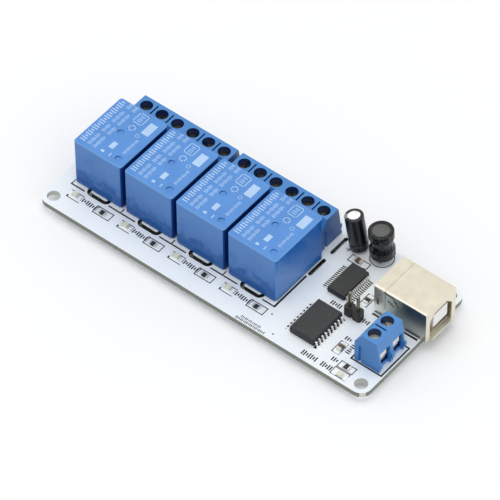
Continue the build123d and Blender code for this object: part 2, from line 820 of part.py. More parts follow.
# Data socket: the mouth looks along +X, past the board's edge
socket_box = Location((socket_back, socket_row_y, board_top))
with BuildPart() as data_socket_shell:
    with Locations(socket_box):
        Box(socket_length, socket_width, socket_height, align=(Align.MIN, Align.CENTER, Align.MIN))
    long_edges = data_socket_shell.edges().filter_by(Axis.X)
    fillet(long_edges.group_by(Axis.Z)[-1], radius=socket_edge_radius)
    with BuildSketch(Plane((socket_back + socket_sheet, socket_row_y, board_top + socket_sheet))):
        Rectangle(
            socket_length - 2 * socket_sheet,
            socket_width - 2 * socket_sheet,
            align=(Align.MIN, Align.CENTER),
        )
    extrude(amount=socket_height - 2 * socket_sheet, mode=Mode.SUBTRACT)
    # The floor starts in front of the insulator's block
    with BuildSketch(Plane((socket_back + socket_sheet, socket_row_y, board_top))):
        Rectangle(
            socket_floor_start - socket_sheet,
            socket_width - 2 * socket_sheet,
            align=(Align.MIN, Align.CENTER),
        )
    extrude(amount=socket_sheet, mode=Mode.SUBTRACT)
    # Mouth with its two sloping upper corners
    with BuildSketch(Plane((socket_front, socket_row_y, board_top), x_dir=(0, 1, 0), z_dir=(1, 0, 0))):
        half = socket_mouth_width / 2
        mouth_top = socket_mouth_bottom + socket_mouth_height
        with BuildLine():
            Polyline(
                (-half, socket_mouth_bottom),
                (half, socket_mouth_bottom),
                (half, mouth_top - socket_mouth_chamfer),
                (half - socket_mouth_chamfer, mouth_top),
                (socket_mouth_chamfer - half, mouth_top),
                (-half, mouth_top - socket_mouth_chamfer),
                close=True,
            )
        make_face()
    extrude(amount=-2 * socket_sheet, mode=Mode.SUBTRACT)
    # Lip turned outwards below the mouth
    with BuildSketch(Plane((socket_front, socket_row_y, board_top))):
        Rectangle(socket_lip_reach, socket_mouth_width, align=(Align.MIN, Align.CENTER))
    extrude(amount=socket_mouth_bottom)
    # Folded seam across the top and down both sides
    seam_origin = (socket_back + socket_seam_setback, socket_row_y, board_top)
    with BuildSketch(Plane(seam_origin, x_dir=(0, 1, 0), z_dir=(1, 0, 0))):
        low = (Align.CENTER, Align.MIN)
        outline = Rectangle(socket_width, socket_height, align=low)
        fillet(outline.vertices().group_by(Axis.Y)[-1], radius=socket_edge_radius)
        offset(amount=-socket_seam_depth, mode=Mode.SUBTRACT)
        Rectangle(
            socket_width, socket_height - socket_fold_length, align=low, mode=Mode.SUBTRACT
        )
    extrude(amount=socket_seam_width / 2, both=True, mode=Mode.SUBTRACT)
    # Latch, barb and rear slits cut through both sides, as (setback, height) from the rear foot
    side_plane = Plane((socket_back, socket_row_y, board_top), x_dir=(1, 0, 0), z_dir=(0, -1, 0))
    for slit in (socket_latch_slit, socket_barb_slit, socket_rear_slit):
        with BuildSketch(side_plane):
            with BuildLine():
                Polyline(*slit)
            trace(line_width=socket_slit_width)
        extrude(amount=socket_width, both=True, mode=Mode.SUBTRACT)
    # Tabs through the board
    with BuildSketch(Plane.XY.offset(board_top + socket_sheet)):
        with Locations(*tab_points):
            Rectangle(socket_tab_width, socket_sheet)
    extrude(amount=tail_end - board_top - socket_sheet)
finish(data_socket_shell, "data_socket_shell")

tongue_top = tongue_middle + tongue_height / 2
tongue_bottom = tongue_middle - tongue_height / 2
tongue_front = socket_front - tongue_setback
blade_paths = [
    (upper_blade_pin_setback, tongue_top - blade_thickness / 2),
    (lower_blade_pin_setback, tongue_bottom + blade_thickness / 2),
]


def blades(thickness, width, tip_setback):
    """The four bent contact blades, or the room for them when drawn with clearance."""
    with BuildPart() as bent:
        for side in (-1, 1):
            for pin_setback, level in blade_paths:
                centre = (0, socket_row_y + side * blade_spacing / 2, 0)
                with BuildSketch(Plane(centre, x_dir=(1, 0, 0), z_dir=(0, -1, 0))):
                    with BuildLine():
                        FilletPolyline(
                            (tongue_front - tip_setback, board_top + level),
                            (socket_back + pin_setback, board_top + level),
                            (socket_back + pin_setback, tail_end),
                            radius=blade_bend_radius,
                        )
                    trace(line_width=thickness)
                extrude(amount=width / 2, both=True)
    return bent


with BuildPart() as data_socket_insulator:
    gap = socket_sheet + insulator_fit
    with BuildSketch(Plane((socket_back + gap, socket_row_y, board_top))):
        Rectangle(
            insulator_block_length - gap, socket_width - 2 * gap, align=(Align.MIN, Align.CENTER)
        )
    extrude(amount=socket_height - gap)
    with BuildSketch(Plane((socket_back + gap, socket_row_y, board_top + tongue_bottom))):
        Rectangle(
            tongue_front - socket_back - gap, tongue_width, align=(Align.MIN, Align.CENTER)
        )
    extrude(amount=tongue_height)
    add(
        blades(
            blade_thickness + 2 * blade_clearance,
            blade_width + 2 * blade_clearance,
            blade_tip_setback - blade_clearance,
        ).part,
        mode=Mode.SUBTRACT,
    )
finish(data_socket_insulator, "data_socket_insulator")
finish(blades(blade_thickness, blade_width, blade_tip_setback), "data_socket_contacts")


# Electrolytic capacitor and drum inductor, both standing a little askew
def drum_form(plane, radius, length, edge_radius, groove, growth=0):
    """Closed cylinder with rounded ends and a round groove, grown all round by an amount."""
    groove_height, groove_depth, groove_radius = groove
    with BuildPart(plane.offset(-growth)) as form:
        Cylinder(
            radius + growth, length + 2 * growth, align=(Align.CENTER, Align.CENTER, Align.MIN)
        )
        fillet(form.edges().filter_by(GeomType.CIRCLE), radius=edge_radius)
        with Locations((0, 0, groove_height + growth)):
            Torus(
                radius + groove_radius - groove_depth, groove_radius - growth, mode=Mode.SUBTRACT
            )
    return form


def sleeve_form(plane, radius, length, edge_radius, groove, clearance, thickness, lip):
    """Sleeve shrunk over a drum form, with its ends turned in by a lip."""
    with BuildPart() as sleeve:
        outer = drum_form(plane, radius, length, edge_radius, groove, clearance + thickness)
        inner = drum_form(plane, radius, length, edge_radius, groove, clearance)
        add(outer.part)
        add(inner.part, mode=Mode.SUBTRACT)
        reach = clearance + thickness
        with BuildSketch(plane.offset(-reach)):
            Circle(radius + reach - lip)
        extrude(amount=length + 2 * reach, mode=Mode.SUBTRACT)
    return sleeve


def radial_leads(plane, spacing):
    """Two leads from the board's underside up to a part's base plane."""
    with BuildPart() as leads:
        with BuildSketch(Plane.XY.offset(tail_end)):
            with Locations(*lead_points(plane, spacing)):
                Circle(radial_lead_radius)
        extrude(amount=plane.origin.Z + 2 * spacing - tail_end)
        split(bisect_by=plane, keep=Keep.BOTTOM)
    return leads


sleeve_reach = sleeve_clearance + sleeve_thickness
can_plane = capacitor_plane.offset(sleeve_reach)
can_radius = capacitor_radius - sleeve_reach
can_length = capacitor_length - 2 * sleeve_reach
can_groove = (can_bead_height, can_bead_depth, can_bead_radius)
can_form = drum_form(can_plane, can_radius, can_length, can_edge_radius, can_groove)
with BuildPart() as capacitor_can:
    add(can_form.part)
    with BuildSketch(can_plane.offset(can_length)):
        Rectangle(vent_groove_length, vent_groove_width)
        Rectangle(vent_groove_width, vent_groove_length)
    extrude(amount=-vent_groove_depth, mode=Mode.SUBTRACT)
finish(capacitor_can, "capacitor_can")
capacitor_sleeve = sleeve_form(
    can_plane,
    can_radius,
    can_length,
    can_edge_radius,
    can_groove,
    sleeve_clearance,
    sleeve_thickness,
    sleeve_lip,
)
finish(capacitor_sleeve, "capacitor_sleeve")
finish(radial_leads(can_plane, capacitor_lead_spacing), "capacitor_leads")

shrink_reach = shrink_clearance + shrink_thickness
drum_plane = inductor_plane.offset(shrink_reach)
drum_length = drum_height - 2 * shrink_reach
drum_groove = (drum_length / 2, shrink_pinch, shrink_pinch_radius)
with BuildPart(drum_plane) as inductor_core:
    low = (Align.CENTER, Align.CENTER, Align.MIN)
    Cylinder(drum_waist_radius, drum_length, align=low)
    Cylinder(drum_radius, drum_flange, align=low)
    with Locations((0, 0, drum_length - drum_flange)):
        Cylinder(drum_radius, drum_flange, align=low)
    rims = inductor_core.edges().filter_by(GeomType.CIRCLE).filter_by(
        lambda edge: abs(edge.radius - drum_radius) < 0.01
    )
    fillet(rims, radius=shrink_edge_radius)
finish(inductor_core, "inductor_core")

with BuildPart(drum_plane) as inductor_winding:
    winding_length = drum_length - 2 * drum_flange - 2 * winding_clearance
    with Locations((0, 0, drum_flange + winding_clearance)):
        Cylinder(winding_radius, winding_length, align=low)
        Cylinder(drum_waist_radius + winding_clearance, winding_length, align=low, mode=Mode.SUBTRACT)
finish(inductor_winding, "inductor_winding")

inductor_sleeve = sleeve_form(
    drum_plane,
    drum_radius,
    drum_length,
    shrink_edge_radius,
    drum_groove,
    shrink_clearance,
    shrink_thickness,
    shrink_lip,
)
finish(inductor_sleeve, "inductor_sleeve")
finish(radial_leads(drum_plane, inductor_lead_spacing), "inductor_leads")


# Packaged chips with gull-wing leads on their two long sides
def chip_body(x, y, width, length, height, index_x, index_y):
    """Moulded body that tapers up and down from its parting line, with an index dimple."""
    parting = board_top + chip_standoff + height / 2
    with BuildPart() as body:
        with BuildSketch(Plane((x, y, parting))):
            Rectangle(width, length)
        extrude(amount=height / 2, taper=chip_taper)
        with BuildSketch(Plane((x, y, parting), x_dir=(1, 0, 0), z_dir=(0, 0, -1))):
            Rectangle(width, length)
        extrude(amount=height / 2, taper=chip_taper)
        with BuildSketch(Plane((x, y, parting + height / 2))):
            with Locations((index_x, index_y)):
                Circle(index_radius)
        extrude(amount=-index_depth, mode=Mode.SUBTRACT)
    return body


def chip_leads(x, y, width, height, span, foot, lead, bend, pitch, per_side):
    """Leads bent from the parting line out and down to the board."""
    lead_width, lead_thickness = lead
    level = chip_standoff + height / 2
    seat = lead_seat + lead_thickness / 2
    heel = span / 2 - foot
    shoulder = (width / 2 + heel) / 2
    with BuildPart() as one:
        with BuildSketch(Plane.XZ):
            with BuildLine():
                FilletPolyline(
                    (width / 2, level), (shoulder, level), (heel, seat), (span / 2, seat), radius=bend
                )
            trace(line_width=lead_thickness)
        extrude(amount=lead_width / 2, both=True)
    with BuildPart() as leads:
        for turn in (0, 180):
            with Locations(Location((x, y, board_top), (0, 0, turn))):
                with GridLocations(0, pitch, 1, per_side):
                    add(one.part)
    return leads


driver_body = chip_body(
    driver_x,
    driver_y,
    driver_width,
    driver_length,
    driver_height,
    index_inset - driver_width / 2,
    index_inset - driver_length / 2,
)
finish(driver_body, "driver_chip_body")
driver_leads = chip_leads(
    driver_x,
    driver_y,
    driver_width,
    driver_height,
    driver_lead_span,
    driver_foot,
    (driver_lead_width, driver_lead_thickness),
    driver_lead_bend,
    driver_lead_pitch,
    driver_leads_per_side,
)
finish(driver_leads, "driver_chip_leads")

interface_body = chip_body(
    interface_x,
    interface_y,
    interface_width,
    interface_length,
    interface_height,
    interface_width / 2 - index_inset,
    index_inset - interface_length / 2,
)
finish(interface_body, "interface_chip_body")
interface_leads = chip_leads(
    interface_x,
    interface_y,
    interface_width,
    interface_height,
    interface_lead_span,
    interface_foot,
    (interface_lead_width, interface_lead_thickness),
    interface_lead_bend,
    interface_lead_pitch,
    interface_leads_per_side,
)
finish(interface_leads, "interface_chip_leads")


# Jumper header
with BuildSketch() as header_cell:
    Rectangle(header_pitch, header_depth)
    chamfer(header_cell.vertices(), length=header_chamfer)

with BuildPart() as jumper_header_body:
    with BuildSketch(Plane.XY.offset(board_top)):
        with Locations(*header_points):
            add(header_cell.sketch)
            side = header_pin_size + 2 * header_pin_clearance
            Rectangle(side, side, mode=Mode.SUBTRACT)
    extrude(amount=header_height)
finish(jumper_header_body, "jumper_header_body")

with BuildPart() as jumper_header_pins:
    with BuildSketch(Plane.XY.offset(tail_end)):
        with Locations(*header_points):
            Rectangle(header_pin_size, header_pin_size)
    extrude(amount=board_top + header_pin_height - tail_end)
    tips = jumper_header_pins.edges().group_by(Axis.Z)[-1]
    chamfer(tips, length=header_pin_point, length2=header_pin_size / 4)
finish(jumper_header_pins, "jumper_header_pins")


# Small surface parts, each drawn long in X and turned in its place
def surface_place(x, y, turn=0):
    """Place of a small part on the board, turned about its own middle."""
    return Location((x, y, board_top), (0, 0, turn))


def ended_block(height):
    """Small ceramic block with raised terminations round its two ends."""
    low = (Align.CENTER, Align.CENTER, Align.MIN)
    with BuildPart() as block:
        with Locations((0, 0, termination_thickness)):
            Box(chip_part_length, chip_part_width, height - 2 * termination_thickness, align=low)
        for end in (-1, 1):
            with Locations((end * (chip_part_length - termination_length) / 2, 0, 0)):
                width = chip_part_width + 2 * termination_thickness
                Box(termination_length, width, height, align=low)
    return block


led_places = [surface_place(x + led_offset_x, led_row_y) for x, y in relay_centres]
led_places.append(surface_place(power_led_x, power_led_y))
with BuildPart() as indicator_leds:
    with Locations(*led_places):
        Box(
            chip_part_length,
            chip_part_width,
            led_base_height,
            align=(Align.CENTER, Align.CENTER, Align.MIN),
        )
finish(indicator_leds, "indicator_leds")

with BuildPart() as led_lenses:
    with Locations(*[place * Pos(0, 0, led_base_height) for place in led_places]):
        Box(
            led_lens_length,
            chip_part_width,
            led_lens_height,
            align=(Align.CENTER, Align.CENTER, Align.MIN),
        )
finish(led_lenses, "led_lenses")

resistor_places = [surface_place(x + resistor_offset_x, resistor_row_y) for x, y in relay_centres]
resistor_places.append(surface_place(power_resistor_x, power_resistor_y))
resistor_places.append(surface_place(side_resistor_x, side_resistor_y, 90))
resistor_block = ended_block(resistor_height)
with BuildPart() as resistors:
    with Locations(*resistor_places):
        add(resistor_block.part)
finish(resistors, "resistors")

ceramic_places = [
    surface_place(supply_ceramic_x, supply_ceramic_y, 90),
    surface_place(chip_ceramic_x, chip_ceramic_y),
]
ceramic_block = ended_block(ceramic_height)
with BuildPart() as ceramic_capacitors:
    with Locations(*ceramic_places):
        add(ceramic_block.part)
finish(ceramic_capacitors, "ceramic_capacitors")
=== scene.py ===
import math

import bmesh
import bpy
from mathutils import Matrix, Vector


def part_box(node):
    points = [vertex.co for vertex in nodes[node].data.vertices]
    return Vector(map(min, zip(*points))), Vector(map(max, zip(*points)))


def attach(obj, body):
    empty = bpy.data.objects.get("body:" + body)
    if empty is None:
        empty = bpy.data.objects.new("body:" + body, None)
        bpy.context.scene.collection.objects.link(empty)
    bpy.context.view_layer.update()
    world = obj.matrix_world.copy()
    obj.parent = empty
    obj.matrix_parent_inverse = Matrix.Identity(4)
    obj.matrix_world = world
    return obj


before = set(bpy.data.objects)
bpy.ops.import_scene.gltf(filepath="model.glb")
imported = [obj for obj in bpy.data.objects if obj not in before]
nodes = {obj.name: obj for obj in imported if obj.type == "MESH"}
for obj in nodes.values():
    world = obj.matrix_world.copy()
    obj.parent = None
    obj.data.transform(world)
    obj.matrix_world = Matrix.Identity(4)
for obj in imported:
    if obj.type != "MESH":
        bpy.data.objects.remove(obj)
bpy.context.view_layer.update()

# Lengths below are in millimetres; mm turns them into metres
mm = 0.001
board_top = 1.6
board_half = (52.2, 21.0)
tail_end = -1.9
relay_top = 16.9
relay_front = -10.6
relay_row = [(-40.57 + 16.56 * n, -1.23) for n in range(4)]
terminal_pitch = 5.08
terminal_row_y = 13.50
terminal_middles = (-39.42, -24.18, -7.47, 7.77)
terminal_top = 11.8
power_block = (47.13, -7.71)
driver_chip = (29.18, -10.33)
interface_chip = (27.13, 5.17)
header_pins = ((33.31, -2.08), (35.85, -2.08))
socket_back = 37.65
socket_middle = 8.02
# Slits in the socket's side, each from (x, z) to (x, z) off the foot of the back edge, with a
# shadow painted along each
socket_slits = (
    ((3.4, 9.6), (5.7, 9.4)),
    ((5.7, 9.4), (7.3, 7.35)),
    ((4.5, 7.2), (5.8, 6.6)),
    ((1.15, 4.1), (1.15, 5.6)),
)
slit_shadow_reach = 0.3
print_lift = 0.02
pad_level = 1.61


# Colours and finishes
def tone(red, green, blue):
    """Linear colour from a display colour of 0 to 255."""
    return tuple((v / 255.0) ** 2.2 for v in (red, green, blue)) + (1.0,)


def shade(colour, factor):
    return tuple(min(1.0, c * factor) for c in colour[:3]) + (1.0,)


class Finish:
    """One material under construction, with its shader and its object coordinates."""

    def __init__(self, name, roughness=0.5, metallic=0.0):
        self.material = bpy.data.materials.new(name)
        self.material.use_nodes = True
        self.tree = self.material.node_tree
        self.shader = self.tree.nodes["Principled BSDF"]
        self.shader.inputs["Roughness"].default_value = roughness
        self.shader.inputs["Metallic"].default_value = metallic
        coordinates = self.add("ShaderNodeTexCoord")
        self.place = coordinates.outputs["Object"]
        self.facing = coordinates.outputs["Normal"]

    def add(self, kind, **settings):
        node = self.tree.nodes.new(kind)
        for key, value in settings.items():
            setattr(node, key, value)
        return node

    def link(self, source, target):
        self.tree.links.new(source, target)

    def stretched(self, scale):
        """Object coordinates stretched by a scale along each axis."""
        mapping = self.add("ShaderNodeMapping")
        mapping.inputs["Scale"].default_value = scale
        self.link(self.place, mapping.inputs["Vector"])
        return mapping.outputs["Vector"]

    def noise(self, scale, detail=4.0, place=None):
        node = self.add("ShaderNodeTexNoise")
        node.inputs["Scale"].default_value = scale
        node.inputs["Detail"].default_value = detail
        self.link(place or self.place, node.inputs["Vector"])
        return node.outputs["Fac"]

    def ramp(self, value, stops):
        """Colours along a value, as (position, colour) stops."""
        node = self.add("ShaderNodeValToRGB")
        elements = node.color_ramp.elements
        while len(elements) < len(stops):
            elements.new(0.5)
        for element, (position, colour) in zip(elements, stops):
            element.position = position
            element.color = colour
        self.link(value, node.inputs["Fac"])
        return node.outputs["Color"]

    def patches(self, scale, first, second):
        """Two tones that blend into each other in soft patches."""
        return self.ramp(self.noise(scale), [(0.3, first), (0.7, second)])

    def drifting(self, scale, colour, drift):
        """One tone that drifts a little darker and a little lighter."""
        return self.patches(scale, shade(colour, 1 - drift), shade(colour, 1 + drift))

    def mix(self, factor, first, second):
        node = self.add("ShaderNodeMix", data_type="RGBA")
        self.link(factor, node.inputs[0])
        for socket, value in ((node.inputs[6], first), (node.inputs[7], second)):
            if isinstance(value, tuple):
                socket.default_value = value
            else:
                self.link(value, socket)
        return node.outputs[2]

    def math(self, operation, first, second=0.0):
        node = self.add("ShaderNodeMath", operation=operation)
        for socket, value in zip(node.inputs, (first, second)):
            if isinstance(value, (int, float)):
                socket.default_value = value
            else:
                self.link(value, socket)
        return node.outputs[0]

    def axis(self, name):
        """One coordinate of the place, in millimetres."""
        split = self.add("ShaderNodeSeparateXYZ")
        self.link(self.place, split.inputs[0])
        return self.math("DIVIDE", split.outputs[name], mm)

    def off(self, name, middle=0.0):
        """Distance to either side of a middle along an axis."""
        return self.math("ABSOLUTE", self.math("SUBTRACT", self.axis(name), middle))

    def share(self, name, start, length):
        """Way from a start along an axis, in parts of a length."""
        return self.math("DIVIDE", self.math("SUBTRACT", self.axis(name), start), length)

    def toward(self, name):
        """How far a surface faces along an axis, from -1 to 1."""
        split = self.add("ShaderNodeSeparateXYZ")
        self.link(self.facing, split.inputs[0])
        return split.outputs[name]

    def faces(self, name, limit):
        """One where a surface faces along an axis by more than a limit, and nought elsewhere."""
        return self.math("GREATER_THAN", self.toward(name), limit)

    def within(self, value, low, high):
        """One where a value lies between two limits, and nought elsewhere."""
        above = self.math("GREATER_THAN", value, low)
        return self.math("MULTIPLY", above, self.math("LESS_THAN", value, high))

    def near(self, start, end, reach):
        """One within reach of a straight line on the socket's side, off its back foot."""
        (ax, az), (bx, bz) = start, end
        length = math.hypot(bx - ax, bz - az)
        ux, uz = (bx - ax) / length, (bz - az) / length
        x = self.math("SUBTRACT", self.axis("X"), socket_back + ax)
        z = self.math("SUBTRACT", self.axis("Z"), board_top + az)
        along = self.math("ADD", self.math("MULTIPLY", x, ux), self.math("MULTIPLY", z, uz))
        aside = self.math("SUBTRACT", self.math("MULTIPLY", x, uz), self.math("MULTIPLY", z, ux))
        inside = self.within(along, -reach, length + reach)
        return self.math("MULTIPLY", inside, self.within(aside, -reach, reach))

    def colour(self, source):
        self.link(source, self.shader.inputs["Base Color"])

    def rough(self, value, low, high):
        """Roughness that wanders between two limits with a value."""
        node = self.add("ShaderNodeMapRange")
        node.inputs["From Min"].default_value = 0.3
        node.inputs["From Max"].default_value = 0.7
        node.inputs["To Min"].default_value = low
        node.inputs["To Max"].default_value = high
        self.link(value, node.inputs["Value"])
        self.link(node.outputs["Result"], self.shader.inputs["Roughness"])

    def bump(self, value, strength, distance):
        node = self.add("ShaderNodeBump")
        node.inputs["Strength"].default_value = strength
        node.inputs["Distance"].default_value = distance * mm
        self.link(value, node.inputs["Height"])
        self.link(node.outputs["Normal"], self.shader.inputs["Normal"])


def moulded(name, colour, roughness, drift=0.06, grain=0.12):
    """Moulded plastic: a little uneven in colour and gloss, with a fine grain."""
    finish = Finish(name)
    finish.colour(finish.drifting(180.0, colour, drift))
    finish.rough(finish.noise(700.0), roughness - 0.06, roughness + 0.06)
    finish.bump(finish.noise(9000.0, 3.0), grain, 0.02)
    return finish.material


def epoxy(name, colour, side):
    """Moulded chip body whose sides are darker than its top."""
    finish = Finish(name)
    top = finish.drifting(180.0, colour, 0.06)
    finish.colour(finish.mix(finish.faces("Z", 0.6), side, top))
    finish.rough(finish.noise(700.0), 0.56, 0.68)
    finish.bump(finish.noise(9000.0, 3.0), 0.6, 0.02)
    return finish.material


def metal(name, colour, roughness, brushing=(1.0, 1.0, 1.0), drift=0.08, metallic=1.0):
    """Plated or drawn metal with fine lines along the direction that is scaled least."""
    finish = Finish(name, metallic=metallic)
    lines = finish.noise(2500.0, 3.0, finish.stretched(brushing))
    finish.colour(finish.drifting(400.0, colour, drift))
    finish.rough(lines, roughness - 0.08, roughness + 0.1)
    finish.bump(lines, 0.08, 0.01)
    return finish.material


def solder_mask():
    """White solder resist on both faces, with the glass board showing at the outer cut edge,
    painted light on the walls of the corner holes and painted shade on the walls of the inner
    slots.
    """
    rim = 0.4
    corners_from = 46.5
    finish = Finish("white_solder_mask")
    white = finish.patches(120.0, tone(239, 245, 249), tone(244, 250, 253))
    fibres = finish.noise(900.0, 3.0, finish.stretched((1.0, 1.0, 6.0)))
    glass = finish.ramp(fibres, [(0.35, tone(96, 100, 88)), (0.65, tone(124, 128, 113))])
    across, along = finish.off("X"), finish.off("Y")
    inside = finish.math(
        "MULTIPLY",
        finish.math("LESS_THAN", across, board_half[0] - rim),
        finish.math("LESS_THAN", along, board_half[1] - rim),
    )
    corner = finish.math("GREATER_THAN", across, corners_from)
    slot = finish.math("MULTIPLY", inside, finish.math("SUBTRACT", 1.0, corner))
    hole_painted_light = finish.math("MULTIPLY", inside, corner)
    # Painted light: the walls of the corner holes are pale, standing in for the lit floor seen
    # through them
    walls_with_painted_light = finish.mix(hole_painted_light, glass, tone(204, 204, 198))
    # Painted shade: the walls of the inner slots are dark, as the floor under them lies in shadow
    walls_with_painted_light = finish.mix(slot, walls_with_painted_light, tone(50, 53, 46))
    edge = finish.math("LESS_THAN", finish.off("Z", board_top / 2), board_top / 2 - 0.03)
    finish.colour(finish.mix(edge, white, walls_with_painted_light))
    finish.rough(finish.noise(300.0), 0.32, 0.46)
    finish.bump(finish.noise(1500.0, 3.0), 0.05, 0.02)
    return finish.material


def relay_cover_plastic():
    """Tinted cover: frosted on top, with a painted sheen that makes the top a lighter blue, clear
    at the sides, where the works show dark low down; painted highlight along the top edges,
    painted shade and light on the last relay's end and painted shade between relays.
    """
    works_swirl, shade_band_swirl = 11.0, 3.0
    shade_band_slope, shade_band_length = 0.85, 30.0
    top_roughness, side_roughness = 0.42, 0.16
    finish = Finish("relay_cover_blue")
    finish.shader.inputs["Specular IOR Level"].default_value = 0.16
    # Painted sheen: the top takes a lighter blue than the sides
    top = finish.patches(180.0, tone(93, 143, 210), tone(98, 150, 219))
    height = finish.axis("Z")
    swirl = finish.noise(330.0, 2.5)
    works = finish.math("SUBTRACT", height, finish.math("MULTIPLY", swirl, works_swirl))
    works = finish.math("DIVIDE", works, relay_top)
    side = finish.ramp(works, [
        (0.0, tone(50, 96, 162)),
        (0.1, tone(74, 118, 182)),
        (0.5, tone(84, 128, 190)),
        (0.8, tone(84, 130, 192)),
    ])
    # Painted shade and light: the last relay's end goes dark in a slanting band, with a lighter
    # painted stripe just below it, and the faces between relays are painted dark all over
    along = finish.math("SUBTRACT", finish.axis("Y"), relay_front)
    shade_slant = finish.math("ADD", height, finish.math("MULTIPLY", along, shade_band_slope))
    shade_slant = finish.math("ADD", shade_slant, finish.math("MULTIPLY", swirl, shade_band_swirl))
    shade_slant = finish.math("DIVIDE", shade_slant, shade_band_length)
    end = finish.ramp(shade_slant, [
        (0.0, tone(82, 126, 190)),
        (0.42, tone(96, 140, 204)),
        (0.6, tone(50, 112, 188)),
        (0.75, tone(18, 96, 178)),
    ])
    between = finish.math("LESS_THAN", finish.axis("X"), relay_row[-1][0])
    end = finish.mix(between, end, tone(10, 54, 118))
    side = finish.mix(finish.faces("X", 0.6), side, end)
    up = finish.toward("Z")
    # Painted highlight along the rounded top edges
    side = finish.mix(finish.within(up, 0.25, 0.9), side, tone(108, 158, 216))
    frosted_with_painted_sheen = finish.math("GREATER_THAN", up, 0.9)
    finish.colour(finish.mix(frosted_with_painted_sheen, side, top))
    gloss = finish.add("ShaderNodeMapRange")
    gloss.inputs["To Min"].default_value = side_roughness
    gloss.inputs["To Max"].default_value = top_roughness
    finish.link(frosted_with_painted_sheen, gloss.inputs["Value"])
    finish.link(gloss.outputs["Result"], finish.shader.inputs["Roughness"])
    finish.bump(finish.noise(700.0, 2.0), 0.06, 0.02)
    return finish.material


def terminal_plastic(name, middle, row, ways, turned=False):
    """Blue moulding with painted shade in its wells, parting slots and mouths below the top face,
    and on one end face.
    """
    well_radius, well_floor = 1.76, 7.0
    slot_from, slot_half, slot_floor = 2.31, 1.75, 9.5
    mouth_half, mouth_back, mouth_front = 1.97, -2.2, 2.7
    mouth_floor, mouth_ceiling = 2.75, 8.05
    finish = Finish(name)
    along = finish.math("SUBTRACT", finish.axis("Y" if turned else "X"), middle)
    out = finish.math("SUBTRACT", finish.axis("X" if turned else "Y"), row)
    # Distance from the middle of the nearest way
    shifted = finish.math("ADD", finish.math("DIVIDE", along, terminal_pitch), ways / 2 + 10)
    share = finish.math("SUBTRACT", finish.math("FRACT", shifted), 0.5)
    aside = finish.math("MULTIPLY", finish.math("ABSOLUTE", share), terminal_pitch)
    squares = finish.math("MULTIPLY", aside, aside)
    reach = finish.math("SQRT", finish.math("ADD", squares, finish.math("MULTIPLY", out, out)))
    height = finish.axis("Z")
    # Painted shade: the wells, the parting slots and the wire mouths take a deep dark blue
    well = finish.math("LESS_THAN", reach, well_radius)
    well = finish.math("MULTIPLY", well, finish.within(height, well_floor, terminal_top - 0.12))
    slot = finish.math("GREATER_THAN", aside, slot_from)
    slot = finish.math("MULTIPLY", slot, finish.within(out, -slot_half, slot_half))
    slot = finish.math("MULTIPLY", slot, finish.within(height, slot_floor, terminal_top - 0.1))
    inner = finish.math("ABSOLUTE", along)
    inner = finish.math("LESS_THAN", inner, ways * terminal_pitch / 2 - 0.5)
    dark = finish.math("MAXIMUM", well, finish.math("MULTIPLY", slot, inner))
    mouth = finish.math("LESS_THAN", aside, mouth_half)
    mouth = finish.math("MULTIPLY", mouth, finish.within(out, mouth_back, mouth_front))
    mouth = finish.math("MULTIPLY", mouth, finish.within(height, mouth_floor, mouth_ceiling))
    dark = finish.math("MAXIMUM", dark, mouth)
    blue = finish.drifting(180.0, terminal_blue, 0.03)
    # Painted shade on one end face: the power block's front end and the +X end of each row block
    if turned:
        end = finish.math("LESS_THAN", finish.toward("Y"), -0.8)
        blue = finish.mix(end, blue, tone(58, 118, 182))
        recess_shade = tone(4, 40, 96)
    else:
        blue = finish.mix(finish.faces("X", 0.8), blue, tone(40, 84, 146))
        recess_shade = tone(14, 54, 108)
    finish.colour(finish.mix(dark, blue, recess_shade))
    finish.rough(finish.noise(700.0), 0.3, 0.42)
    finish.bump(finish.noise(9000.0, 3.0), 0.1, 0.02)
    return finish.material


